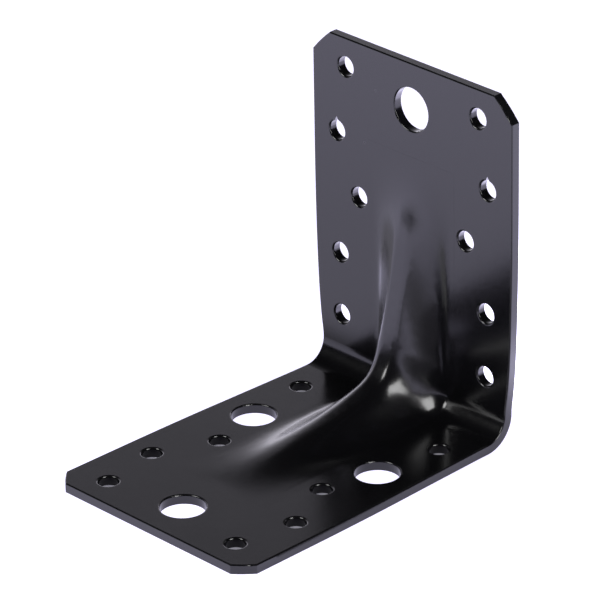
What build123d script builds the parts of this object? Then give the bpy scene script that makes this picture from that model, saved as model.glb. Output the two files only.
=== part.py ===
from build123d import *
import math
import os

os.makedirs("parts", exist_ok=True)

# Reinforced angle bracket: one pressed sheet, two legs at a right angle and a
# rib pressed inwards across the bend. The base leg lies on z = 0 and runs
# towards -y, the back leg stands on its +y end. The origin is the middle of
# the base, below the whole part.

# ---- sheet and fold ----
LEG = 90.0  # outer corner to the free edge, both legs
SHEET = 2.5
BEND_IN = 5.7  # inside radius of the fold
BEND_OUT = BEND_IN + SHEET
BLANK_W = 72.0  # sheet before its sides are trimmed
BACK = LEG / 2  # y of the back face

# ---- half width of each leg, drawn in towards the fold by the rib ----
# (distance from the outer corner, half width)
FOLD_SIDE = 30.55  # half width in the fold
BACK_SIDE = [(BEND_OUT, FOLD_SIDE), (11.5, 30.87), (16, 31.38), (24, 31.92), (32, 32.22), (42, 32.46), (53, 32.58), (66, 32.60)]
BASE_SIDE = [(BEND_OUT, FOLD_SIDE), (16, 30.74), (24, 31.00), (32, 31.28), (42, 31.64), (53, 31.90), (66, 32.05)]
BACK_END = 32.60  # half width at the free edge of the back leg
BASE_END = 32.15  # and of the base leg
BACK_CUT = 5.75  # corner cuts of the back leg
BASE_CUT = 4.30  # corner cuts of the base leg
CUT_SAG = 0.18  # the corner cuts are slightly hollow
EDGE_IN = 0.35  # rounding of the outline on the inside faces
EDGE_OUT = 0.25  # and on the outside

# ---- holes ----
NAIL_D = 5.0
BOLT_D = 11.0
NAIL_RIM = 0.50  # pressed-over rims on the inside faces
BOLT_RIM = 0.38
OUT_RIM = 0.25  # and on the outside of the back leg
UNDER_RIM = 0.08  # sharper under the base
# back leg, (half spacing, height)
BACK_NAILS = [(21.65, 82.60), (24.76, 65.15), (17.56, 49.80), (24.15, 33.05), (23.90, 16.40)]
BACK_BOLT = 78.15
# base leg, (half spacing, distance from the outer corner)
BASE_NAILS = [(21.43, 82.20), (24.28, 65.70), (17.30, 50.30), (23.26, 17.40)]
BASE_BOLTS = (20.80, 35.55)
BASE_BOLT = 78.45
NOTCH_ROW = 1  # this row of the back leg has a nick above each hole
NOTCH_TOP = 3.65  # from the hole's centre
NOTCH_W = 1.9

# ---- rib ----
FAN = 46.0  # the rib's sections turn about a line this far from both faces
# (distance from the outer corner, crest height over the inside face, half width
# of the crest, half width at the foot, half widths of the two roundings)
BACK_RIB = [
    (0, 12.4, 4.0, 9.9, 2.8, 2.4),
    (10, 10.7, 4.0, 9.9, 2.8, 2.4),
    (14, 9.92, 3.4, 10.0, 2.2, 2.0),
    (18, 9.0, 2.9, 10.2, 1.5, 1.7),
    (22.9, 7.8, 2.5, 10.4, 1.0, 1.5),
    (27.8, 6.7, 2.35, 10.5, 0.8, 1.5),
    (32.6, 5.65, 2.3, 10.4, 0.8, 1.6),
    (38.4, 4.55, 2.2, 10.2, 0.9, 1.8),
    (42.6, 3.85, 2.1, 10.0, 1.0, 2.2),
    (46.5, 3.2, 2.0, 9.8, 1.2, 2.8),
    (49, 2.65, 1.9, 9.6, 1.5, 3.2),
    (51.5, 1.95, 1.9, 9.4, 1.8, 3.6),
    (54, 1.3, 1.9, 9.2, 2.2, 4.0),
    (57, 0.7, 1.9, 9.0, 2.6, 4.3),
    (60, 0.3, 1.9, 8.9, 3.0, 4.5),
    (63, 0.07, 1.9, 8.9, 3.0, 4.5),
    (65, 0.0, 1.9, 8.9, 3.0, 4.5),
    (67, 0.0, 1.9, 8.9, 3.0, 4.5),
]
BASE_RIB = [
    (0, 9.6, 4.0, 9.9, 2.6, 2.4),
    (12, 7.95, 4.0, 9.9, 2.6, 2.4),
    (16, 7.36, 3.7, 10.0, 2.4, 2.2),
    (20.5, 6.65, 3.2, 10.2, 2.1, 2.0),
    (25, 5.8, 2.8, 10.4, 1.9, 2.0),
    (31, 4.75, 2.6, 10.2, 2.2, 2.6),
    (38, 3.6, 2.6, 9.8, 2.6, 3.3),
    (44, 2.6, 2.5, 9.4, 3.0, 3.9),
    (50, 1.6, 2.4, 9.0, 3.4, 4.4),
    (54, 0.95, 2.3, 8.8, 3.6, 4.7),
    (58, 0.45, 2.2, 8.6, 3.8, 5.0),
    (61, 0.18, 2.2, 8.6, 3.8, 5.0),
    (63.5, 0.04, 2.2, 8.6, 3.8, 5.0),
    (65, 0.0, 2.2, 8.6, 3.8, 5.0),
    (67, 0.0, 2.2, 8.6, 3.8, 5.0),
]
CREST_TURN = 12.0  # how tightly the crest turns in the corner
BLEND = 0.18  # how fast the sections of one leg give way to the other's
STEP = 0.012  # the pressed field stands this far off the plain sheet at its border
OUT_STEP = 0.03  # and this far on the outside
SKIN_X = 14.0  # the skins reach this far to each side
SKIN_END = 66.0  # and this far up each leg
SKIN_STEP = 0.8
ROWS, COLS = 121, 85


class Curve:
    """A smooth curve through points, without overshoot between them."""

    def __init__(self, xs, ys):
        self.x, self.y = xs, ys
        last = len(xs) - 1
        rise = [(ys[i + 1] - ys[i]) / (xs[i + 1] - xs[i]) for i in range(last)]
        self.m = [rise[0]] + [0.0] * (last - 1) + [rise[-1]]
        for i in range(1, last):
            if rise[i - 1] * rise[i] > 0:
                before, after = xs[i] - xs[i - 1], xs[i + 1] - xs[i]
                v, w = 2 * after + before, after + 2 * before
                self.m[i] = (v + w) / (v / rise[i - 1] + w / rise[i])

    def __call__(self, t):
        x, y, m = self.x, self.y, self.m
        if t <= x[0]:
            return y[0] + m[0] * (t - x[0])
        if t >= x[-1]:
            return y[-1] + m[-1] * (t - x[-1])
        i = max(k for k in range(len(x) - 1) if x[k] <= t)
        w = x[i + 1] - x[i]
        s = (t - x[i]) / w
        return (1 + 2 * s) * (1 - s) ** 2 * y[i] + s * (1 - s) ** 2 * w * m[i] + s * s * (3 - 2 * s) * y[i + 1] + s * s * (s - 1) * w * m[i + 1]


def curves(table):
    columns = [list(c) for c in zip(*table)]
    return [Curve(columns[0], c) for c in columns[1:]]


back_rib, base_rib = curves(BACK_RIB), curves(BASE_RIB)


def soft(d, w):
    """0 before d = 0 and d after it, rounded over w to each side."""
    if d <= -w:
        return 0.0
    if d >= w:
        return d
    return (d + w) ** 2 / (4 * w)


def fold_distance(angle, off, radius):
    """From the fan line to a face of the folded sheet, along a section."""
    c, s = math.cos(angle), math.sin(angle)
    straight, centre = FAN - off, FAN - off - radius
    up = straight / c if c > 1e-9 else 1e9
    along = straight / s if s > 1e-9 else 1e9
    if up * s <= centre:
        return up
    if along * c <= centre:
        return along
    b = centre * (c + s)
    return b + math.sqrt(max(b * b - 2 * centre**2 + radius**2, 0.0))


def crest_distance(angle):
    """From the fan line to the crest, along a section."""
    c, s = math.cos(angle), math.sin(angle)

    def reach(across, along, height):
        low, high = 5.0, 70.0
        if high * across < FAN - SHEET - height(FAN - high * along):
            return 1e3
        for _ in range(50):
            r = (low + high) / 2
            if r * across < FAN - SHEET - height(FAN - r * along):
                low = r
            else:
                high = r
        return (low + high) / 2

    up, along = reach(c, s, back_rib[0]), reach(s, c, base_rib[0])
    return (up**-CREST_TURN + along**-CREST_TURN) ** (-1 / CREST_TURN)


def shape_at(angle):
    """Crest and foot half widths and roundings of a section in the fan."""
    d = FAN * (1 - math.tan(min(angle, math.pi / 2 - angle)))
    w = 0.5 + 0.5 * math.tanh((angle / (math.pi / 4) - 1) / BLEND)
    return [b(d) * (1 - w) + f(d) * w for b, f in zip(back_rib[1:], base_rib[1:])]


def section(x, h, shape, outside):
    """Height of the rib's skin at x, in a section whose crest is h high."""
    crest, foot, top_r, foot_r = shape
    slope = h / max(foot - crest, 0.5)
    if outside:
        shift = SHEET * math.tan(math.atan(max(slope, 0.0)) / 2)
        crest, foot = max(crest - shift, 0.3), foot - shift
        top_r, foot_r = max(top_r - SHEET * slope / 2, 0.8), foot_r + SHEET * max(slope, 0.0) / 2
        slope = h / max(foot - crest, 0.5)
    x = abs(x)
    return h - slope * soft(x - crest, top_r) + slope * soft(x - foot, foot_r) + (OUT_STEP if outside else STEP)


def skin(outside):
    """Points of the rib's inner or outer skin, from the back leg round to the base."""
    off, radius = (0.0, BEND_OUT) if outside else (SHEET, BEND_IN)
    xs = [-SKIN_X + 2 * SKIN_X * i / (COLS - 1) for i in range(COLS)]
    ends = [SKIN_END - SKIN_STEP * i for i in range(round((SKIN_END - FAN) / SKIN_STEP))]

    def run_out(d, rib):
        h = rib[0](d)
        if outside:
            h -= SHEET * (math.hypot(1, (rib[0](d + 0.1) - rib[0](d - 0.1)) / 0.2) - 1)
        return max(h, 0.0), [k(d) for k in rib[1:]]

    rows = []
    for d in ends:
        h, shape = run_out(d, back_rib)
        rows.append([(x, BACK - off - section(x, h, shape, outside), d) for x in xs])
    for i in range(ROWS):
        a = math.pi / 2 * i / (ROWS - 1)
        face, crest, shape = fold_distance(a, off, radius), crest_distance(a), shape_at(a)
        if outside:
            lo, hi = max(a - 1e-3, 0.0), min(a + 1e-3, math.pi / 2)
            turn = (crest_distance(hi) - crest_distance(lo)) / (hi - lo)
            crest += SHEET * math.hypot(1, turn / crest)
        row = []
        for x in xs:
            r = face - section(x, face - crest, shape, outside)
            row.append((x, BACK - FAN + r * math.cos(a), FAN - r * math.sin(a)))
        rows.append(row)
    for d in reversed(ends):
        h, shape = run_out(d, base_rib)
        rows.append([(x, BACK - d, off + section(x, h, shape, outside)) for x in xs])
    return rows


inner_skin = Face.make_surface_from_array_of_points(skin(False), tol=0.002, min_deg=3, max_deg=3)
outer_skin = Face.make_surface_from_array_of_points(skin(True), tol=0.005, min_deg=3, max_deg=3)

side_plane = Plane(origin=(-BLANK_W / 2, BACK, 0), x_dir=(0, 1, 0), z_dir=(1, 0, 0))
back_plane = Plane(origin=(0, BACK - SHEET, 0), x_dir=(1, 0, 0), z_dir=(0, -1, 0))
base_plane = Plane(origin=(0, BACK, SHEET), x_dir=(1, 0, 0), z_dir=(0, 0, 1))

# The bead: everything behind the inner skin, down to the middle of the sheet.
with BuildPart() as bead:
    extrude(to_extrude=inner_skin, amount=24, dir=(0, 1, -1))
    with BuildSketch(side_plane):
        with BuildLine():
            mid = SHEET / 2
            Polyline((-mid, BEND_OUT), (-mid, 70), (-70, 70), (-70, mid), (-BEND_OUT, mid))
            CenterArc((-BEND_OUT, BEND_OUT), BEND_OUT - mid, 270, 90)
        make_face()
    extrude(amount=BLANK_W, mode=Mode.INTERSECT)

# The hollow behind it, one sheet thickness away.
with BuildPart() as hollow:
    extrude(to_extrude=outer_skin, amount=24, dir=(0, 1, -1))

with BuildPart() as bracket:
    # folded sheet
    with BuildSketch(side_plane):
        with BuildLine():
            Polyline((0, BEND_OUT), (0, LEG), (-SHEET, LEG), (-SHEET, BEND_OUT))
            CenterArc((-BEND_OUT, BEND_OUT), BEND_IN, 270, 90)
            Polyline((-BEND_OUT, SHEET), (-LEG, SHEET), (-LEG, 0), (-BEND_OUT, 0))
            CenterArc((-BEND_OUT, BEND_OUT), BEND_OUT, 270, 90)
        make_face()
    extrude(amount=BLANK_W)

    # rib
    add(bead.part)
    add(hollow.part, mode=Mode.SUBTRACT)

    # trimmed sides and corner cuts of the back leg
    with BuildSketch(back_plane.offset(BEND_IN)):
        Rectangle(2 * BLANK_W, 4 * LEG)
        with BuildLine():
            Line((FOLD_SIDE, -1), (FOLD_SIDE, BEND_OUT))
            edge = Spline(*[(w, d) for d, w in BACK_SIDE], tangents=[(0, 1), (0, 1)])
            Line(edge @ 1, (BACK_END, LEG - BACK_CUT))
            SagittaArc((BACK_END, LEG - BACK_CUT), (BACK_END - BACK_CUT, LEG), -CUT_SAG)
            Line((BACK_END - BACK_CUT, LEG), (0, LEG))
            mirror(about=Plane.YZ)
            Line((FOLD_SIDE, -1), (-FOLD_SIDE, -1))
        make_face(mode=Mode.SUBTRACT)
    extrude(amount=-(BEND_OUT + 1), mode=Mode.SUBTRACT)

    # trimmed sides and corner cuts of the base leg
    with BuildSketch(base_plane.offset(0.5)):
        Rectangle(2 * BLANK_W, 4 * LEG)
        with BuildLine():
            Line((FOLD_SIDE, 1), (FOLD_SIDE, -BEND_OUT))
            edge = Spline(*[(w, -d) for d, w in BASE_SIDE], tangents=[(0, -1), (0.00508, -1)])
            Line(edge @ 1, (BASE_END, -LEG + BASE_CUT))
            SagittaArc((BASE_END, -LEG + BASE_CUT), (BASE_END - BASE_CUT, -LEG), CUT_SAG)
            Line((BASE_END - BASE_CUT, -LEG), (0, -LEG))
            mirror(about=Plane.YZ)
            Line((FOLD_SIDE, 1), (-FOLD_SIDE, 1))
        make_face(mode=Mode.SUBTRACT)
    extrude(amount=-(SHEET + 2), mode=Mode.SUBTRACT)

    # rounded outline
    def outline(off, radius):
        def chosen(e):
            if abs((e @ 0.5).X) < 28 and (e @ 0.5).Z < 80 and (e @ 0.5).Y > -38:
                return False
            points = [e @ t for t in (0, 0.4, 1)]
            flat = all(abs(p.Y - BACK + off) < 1e-3 for p in points) or all(abs(p.Z - off) < 1e-3 for p in points)
            return flat or (e.geom_type == GeomType.CIRCLE and abs(e.radius - radius) < 1e-3)

        return bracket.edges().filter_by(chosen)

    fillet(outline(SHEET, BEND_IN), EDGE_IN)
    fillet(outline(0.0, BEND_OUT), EDGE_OUT)

    # holes
    with BuildSketch(back_plane):
        with Locations(*[(s * x, z) for x, z in BACK_NAILS for s in (-1, 1)]):
            Circle(NAIL_D / 2)
        with Locations((0, BACK_BOLT)):
            Circle(BOLT_D / 2)
    extrude(amount=2 * SHEET, both=True, mode=Mode.SUBTRACT)
    with BuildSketch(base_plane):
        with Locations(*[(s * x, -d) for x, d in BASE_NAILS for s in (-1, 1)]):
            Circle(NAIL_D / 2)
        with Locations((0, -BASE_BOLT), (BASE_BOLTS[0], -BASE_BOLTS[1]), (-BASE_BOLTS[0], -BASE_BOLTS[1])):
            Circle(BOLT_D / 2)
    extrude(amount=2 * SHEET, both=True, mode=Mode.SUBTRACT)

    # their rims
    def rims(radius, place):
        return bracket.edges().filter_by(GeomType.CIRCLE).filter_by(lambda e: abs(e.radius - radius) < 1e-3 and place(e.arc_center))

    for radius, rim in ((NAIL_D / 2, NAIL_RIM), (BOLT_D / 2, BOLT_RIM)):
        fillet(rims(radius, lambda c: abs(c.Y - (BACK - SHEET)) < 1e-3 or abs(c.Z - SHEET) < 1e-3), rim)
        fillet(rims(radius, lambda c: abs(c.Y - BACK) < 1e-3), OUT_RIM)
        fillet(rims(radius, lambda c: abs(c.Z) < 1e-3), UNDER_RIM)

    # nicks above the second row of the back leg
    with BuildSketch(back_plane):
        with Locations(*[(s * BACK_NAILS[NOTCH_ROW][0], BACK_NAILS[NOTCH_ROW][1]) for s in (-1, 1)]):
            Polygon((-NOTCH_W / 2, 2.0), (NOTCH_W / 2, 2.0), (0, NOTCH_TOP), align=None)
    extrude(amount=2 * SHEET, both=True, mode=Mode.SUBTRACT)

bracket.part.label = "angle_bracket"
export_step(bracket.part, "parts/angle_bracket.step")
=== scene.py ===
import math

import bpy
from mathutils import Matrix, Vector

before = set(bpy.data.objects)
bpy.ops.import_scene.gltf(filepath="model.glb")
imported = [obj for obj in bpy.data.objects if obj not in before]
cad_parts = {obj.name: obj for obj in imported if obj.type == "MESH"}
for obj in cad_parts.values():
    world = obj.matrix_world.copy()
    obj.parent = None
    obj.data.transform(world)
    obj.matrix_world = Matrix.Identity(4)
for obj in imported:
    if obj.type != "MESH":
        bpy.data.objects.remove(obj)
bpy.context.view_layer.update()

scene = bpy.context.scene
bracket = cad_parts["angle_bracket"]


# ---- small helpers -----------------------------------------------------------
class Tree:
    """Adds nodes to a node tree and links them."""

    def __init__(self, tree):
        self.nodes, self.links = tree.nodes, tree.links
        self.nodes.clear()

    def add(self, kind, **values):
        node = self.nodes.new(kind)
        for key, value in values.items():
            setattr(node, key, value)
        return node

    def put(self, node, **values):
        for key, value in values.items():
            socket = node.inputs[key.replace("_", " ")]
            if hasattr(value, "is_output"):
                self.links.new(value, socket)
            else:
                socket.default_value = value
        return node

    def math(self, operation, a, b=0.0, clamp=False):
        node = self.add("ShaderNodeMath", operation=operation, use_clamp=clamp)
        for socket, value in zip(node.inputs, (a, b)):
            if hasattr(value, "is_output"):
                self.links.new(value, socket)
            else:
                socket.default_value = value
        return node.outputs[0]

    def noise(self, vector, scale, detail=2.0, rough=0.5):
        node = self.add("ShaderNodeTexNoise", noise_dimensions="3D")
        self.put(node, Vector=vector, Scale=scale, Detail=detail, Roughness=rough)
        return node.outputs["Fac"]

    def ramp(self, value, low, high, out_low=0.0, out_high=1.0, smooth=True):
        node = self.add("ShaderNodeMapRange", interpolation_type="SMOOTHSTEP" if smooth else "LINEAR")
        self.links.new(value, node.inputs["Value"])
        for key, v in (("From Min", low), ("From Max", high), ("To Min", out_low), ("To Max", out_high)):
            node.inputs[key].default_value = v
        return node.outputs[0]

    def mix(self, fac, a, b):
        node = self.add("ShaderNodeMix", data_type="RGBA")
        for socket, value in ((node.inputs[0], fac), (node.inputs[6], a), (node.inputs[7], b)):
            if hasattr(value, "is_output"):
                self.links.new(value, socket)
            else:
                socket.default_value = value
        return node.outputs[2]


def look_at(obj, target):
    obj.rotation_mode = "QUATERNION"
    obj.rotation_quaternion = (Vector(target) - obj.location).to_track_quat("-Z", "Y")


# ---- material: black stoved coating -----------------------------------------
def black_coat():
    material = bpy.data.materials.new("black_coat")
    material.use_nodes = True
    t = Tree(material.node_tree)
    out = t.add("ShaderNodeOutputMaterial")
    bsdf = t.add("ShaderNodeBsdfPrincipled")
    t.links.new(bsdf.outputs[0], out.inputs["Surface"])
    where = t.add("ShaderNodeTexCoord").outputs["Object"]

    # slow drift of tone and gloss over the surface
    cloud = t.noise(where, 45.0, 3.0, 0.55)
    fine = t.noise(where, 900.0, 2.0, 0.6)

    # orange peel of the coating, and a fine grain on top of it
    peel = t.noise(where, 620.0, 2.0, 0.45)
    grain = t.noise(where, 3800.0, 1.0, 0.5)
    waves = t.noise(where, 70.0, 1.0, 0.4)

    # few tiny pits and dust nibs
    cells = t.add("ShaderNodeTexVoronoi", feature="F1")
    t.put(cells, Vector=where, Scale=260.0, Randomness=1.0)
    spot = t.ramp(cells.outputs["Distance"], 0.05, 0.11, 1.0, 0.0)
    chance = t.add("ShaderNodeSeparateColor")
    t.links.new(cells.outputs["Color"], chance.inputs[0])
    chosen = t.math("GREATER_THAN", chance.outputs[0], 0.972)
    nib = t.math("MULTIPLY", spot, chosen)

    base = t.mix(cloud, (0.0019, 0.0019, 0.0023, 1.0), (0.0032, 0.0031, 0.0037, 1.0))
    base = t.mix(t.math("MULTIPLY", nib, 0.5), base, (0.05, 0.05, 0.055, 1.0))
    t.put(bsdf, Base_Color=base)

    rough = t.ramp(cloud, 0.25, 0.75, 0.165, 0.205)
    rough = t.math("ADD", rough, t.ramp(fine, 0.3, 0.7, -0.010, 0.012))
    rough = t.math("ADD", rough, t.math("MULTIPLY", nib, 0.25))
    t.put(bsdf, Roughness=rough)
    bsdf.inputs["IOR"].default_value = 1.5
    bsdf.inputs["Metallic"].default_value = 0.0

    height = t.math("ADD", t.math("MULTIPLY", peel, 1.0), t.math("MULTIPLY", grain, 0.18))
    height = t.math("ADD", height, t.math("MULTIPLY", waves, 2.0))
    height = t.math("ADD", height, t.math("MULTIPLY", nib, 1.5))
    bump = t.add("ShaderNodeBump")
    t.put(bump, Height=height, Strength=0.35, Distance=0.00002)
    t.links.new(bump.outputs[0], bsdf.inputs["Normal"])
    return material


bracket.data.materials.clear()
bracket.data.materials.append(black_coat())

# ---- floor ------------------------------------------------------------------
mesh = bpy.data.meshes.new("floor")
mesh.from_pydata([(-12, -12, 0), (12, -12, 0), (12, 12, 0), (-12, 12, 0)], [], [(0, 1, 2, 3)])
floor = bpy.data.objects.new("floor", mesh)
scene.collection.objects.link(floor)
floor.location.z = -0.00002
paper = bpy.data.materials.new("paper")
paper.use_nodes = True
t = Tree(paper.node_tree)
out = t.add("ShaderNodeOutputMaterial")
bsdf = t.add("ShaderNodeBsdfPrincipled")
t.put(bsdf, Base_Color=(0.5, 0.5, 0.5, 1.0), Roughness=0.9)
bsdf.inputs["Specular IOR Level"].default_value = 0.0
bsdf.inputs["Emission Color"].default_value = (1.0, 0.955, 1.32, 1.0)
place = t.add("ShaderNodeTexCoord").outputs["Object"]
spread = t.add("ShaderNodeVectorMath", operation="LENGTH")
t.links.new(place, spread.inputs[0])
split = t.add("ShaderNodeSeparateXYZ")
t.links.new(place, split.inputs[0])
# painted light: the floor glows brighter towards the front and dimmer far away. Brighter glowing patches are added to
# show in the reflections: a strip to the left, the floor right of the sheet's right edge, a patch behind at right, and
# a patch behind the upright leg that lights the bores.
glow = t.math("ADD", t.ramp(split.outputs["Y"], -0.22, 0.06, 0.75, 0.0), 0.85)
glow = t.math("MULTIPLY", glow, t.ramp(spread.outputs["Value"], 0.4, 2.0, 1.0, 0.32))
strip = t.math("MULTIPLY", t.ramp(split.outputs["X"], -0.074, -0.058, 1.0, 0.0), t.ramp(split.outputs["X"], -0.105, -0.085))
strip = t.math("MULTIPLY", strip, t.math("MULTIPLY", t.ramp(split.outputs["Y"], 0.012, 0.028), t.ramp(split.outputs["Y"], 0.045, 0.065, 1.0, 0.0)))
glow = t.math("ADD", glow, t.math("MULTIPLY", strip, 0.7))
glow = t.math("ADD", glow, t.ramp(split.outputs["X"], 0.031, 0.040, 0.0, 0.25))
behind = t.math("MULTIPLY", t.ramp(split.outputs["X"], 0.0, 0.05), t.ramp(split.outputs["Y"], 0.04, 0.09))
glow = t.math("ADD", glow, t.math("MULTIPLY", behind, 0.7))
bore_glow_patch = t.math("MULTIPLY", t.ramp(split.outputs["X"], -0.06, -0.02), t.ramp(split.outputs["X"], 0.055, 0.075, 1.0, 0.0))
bore_glow_patch = t.math("MULTIPLY", bore_glow_patch, t.math("MULTIPLY", t.ramp(split.outputs["Y"], 0.052, 0.07), t.ramp(split.outputs["Y"], 0.2, 0.35, 1.0, 0.0)))
glow = t.math("ADD", glow, t.math("MULTIPLY", bore_glow_patch, 2.2))
# no light gets in under the sheet, except through the bolt holes
wide = t.math("ABSOLUTE", split.outputs["X"])
inside = t.math("MAXIMUM", t.math("DIVIDE", wide, 0.0302), t.math("DIVIDE", t.math("ABSOLUTE", t.math("ADD", split.outputs["Y"], 0.0040)), 0.0400))
inside = t.math("MAXIMUM", inside, t.math("DIVIDE", t.math("SUBTRACT", wide, split.outputs["Y"]), 0.0715))
open_to = t.ramp(inside, 0.985, 1.0, 0.10, 1.0)
for x, y in ((-0.0208, 0.00945), (0.0208, 0.00945), (0.0, -0.03345)):
    reach = t.add("ShaderNodeVectorMath", operation="DISTANCE")
    t.links.new(place, reach.inputs[0])
    reach.inputs[1].default_value = (x, y, 0.0)
    open_to = t.math("MAXIMUM", open_to, t.ramp(reach.outputs["Value"], 0.0056, 0.0064, 1.0, 0.0))
glow = t.math("MULTIPLY", glow, open_to)
t.links.new(glow, bsdf.inputs["Emission Strength"])
t.links.new(bsdf.outputs[0], out.inputs["Surface"])
floor.data.materials.append(paper)

# glowing grey cards to the left and to the right, seen only in the gloss: painted shade of the floor in the
# reflections, dimmer than the floor glow they cover
def card(name, corner, far, axis, soft_from, soft_to, strength, lift=0.0):
    (x0, y0), (x1, y1) = corner, far
    mesh = bpy.data.meshes.new(name)
    mesh.from_pydata([(x0, y0, 0), (x1, y0, 0), (x1, y1, 0), (x0, y1, 0)], [], [(0, 1, 2, 3)])
    obj = bpy.data.objects.new(name, mesh)
    scene.collection.objects.link(obj)
    obj.location.z = -0.00001 + lift
    obj.visible_camera = obj.visible_diffuse = obj.visible_shadow = obj.visible_transmission = False
    grey = bpy.data.materials.new(name)
    grey.use_nodes = True
    t = Tree(grey.node_tree)
    out = t.add("ShaderNodeOutputMaterial")
    glow = t.add("ShaderNodeEmission")
    t.put(glow, Color=(0.97, 0.94, 1.10, 1.0), Strength=strength)
    clear = t.add("ShaderNodeBsdfTransparent")
    split = t.add("ShaderNodeSeparateXYZ")
    t.links.new(t.add("ShaderNodeTexCoord").outputs["Object"], split.inputs[0])
    blend = t.add("ShaderNodeMixShader")
    t.links.new(t.ramp(split.outputs[axis], soft_from, soft_to), blend.inputs[0])
    t.links.new(clear.outputs[0], blend.inputs[1])
    t.links.new(glow.outputs[0], blend.inputs[2])
    t.links.new(blend.outputs[0], out.inputs["Surface"])
    obj.data.materials.append(grey)


card("left_card", (-1.6, -0.01), (-0.085, 1.2), "Y", -0.010, 0.045, 0.50)
card("left_patch", (-0.060, 0.022), (-0.0325, 0.06), "Y", 0.022, 0.034, 0.30)
card("right_card", (0.0345, -0.6), (0.130, 0.034), "X", 0.034, 0.058, 0.64)
card("right_patch", (0.0345, -0.032), (0.085, 0.036), "X", 0.085, 0.050, 0.20, 0.000004)

# ---- light ------------------------------------------------------------------
world = bpy.data.worlds.new("studio")
scene.world = world
world.use_nodes = True
t = Tree(world.node_tree)
out = t.add("ShaderNodeOutputWorld")
sky = t.add("ShaderNodeBackground")
direction = t.add("ShaderNodeTexCoord").outputs["Generated"]
split = t.add("ShaderNodeSeparateXYZ")
t.links.new(direction, split.inputs[0])
along = t.math("ADD", t.math("MULTIPLY", split.outputs["X"], -0.72), t.math("MULTIPLY", split.outputs["Y"], 0.69))
wall = t.ramp(along, 0.0, 0.75)
fade = t.ramp(split.outputs["Z"], -0.05, 0.75, 1.0, 0.0)
fade = t.math("ADD", t.math("MULTIPLY", fade, 1.42), t.ramp(split.outputs["Z"], 0.02, 0.32, 0.9, 0.0))
level = t.math("ADD", t.math("MULTIPLY", wall, fade), 0.022)
t.links.new(level, sky.inputs["Strength"])
sky.inputs["Color"].default_value = (1.0, 0.97, 1.10, 1.0)
t.links.new(sky.outputs[0], out.inputs["Surface"])


def softbox(name, place, target, width, height, power, colour=(1, 1, 1)):
    data = bpy.data.lights.new(name, "AREA")
    data.shape = "RECTANGLE"
    data.size, data.size_y = width, height
    data.energy = power
    data.color = colour
    obj = bpy.data.objects.new(name, data)
    scene.collection.objects.link(obj)
    obj.location = place
    look_at(obj, target)
    return obj


def towards(azimuth, elevation, distance):
    a, e = math.radians(azimuth), math.radians(elevation)
    return Vector((math.sin(a) * math.cos(e), -math.cos(a) * math.cos(e), math.sin(e))) * distance


softbox("left_box", towards(-18, 35, 1.8), (0, 0.01, 0.03), 0.75, 0.75, 18.5)
softbox("right_box", towards(88, 25, 1.8), (0, 0.01, 0.03), 0.75, 1.10, 27.0)

# ---- camera -----------------------------------------------------------------
cam_data = bpy.data.cameras.new("camera")
cam = bpy.data.objects.new("camera", cam_data)
scene.collection.objects.link(cam)
cam_data.sensor_fit = "HORIZONTAL"
cam_data.sensor_width = 36.0
cam_data.lens = 301.0009
cam_data.shift_x, cam_data.shift_y = 0.005096, 0.004397
cam_data.clip_start, cam_data.clip_end = 0.01, 60.0
cam.rotation_mode = "QUATERNION"
cam.location = (0.7514145, -0.7209876, 0.5620483)
cam.rotation_quaternion = (0.78562625, 0.48254896, 0.20998525, 0.32533687)
scene.camera = cam

scene.view_settings.view_transform = "Standard"
scene.view_settings.look = "None"
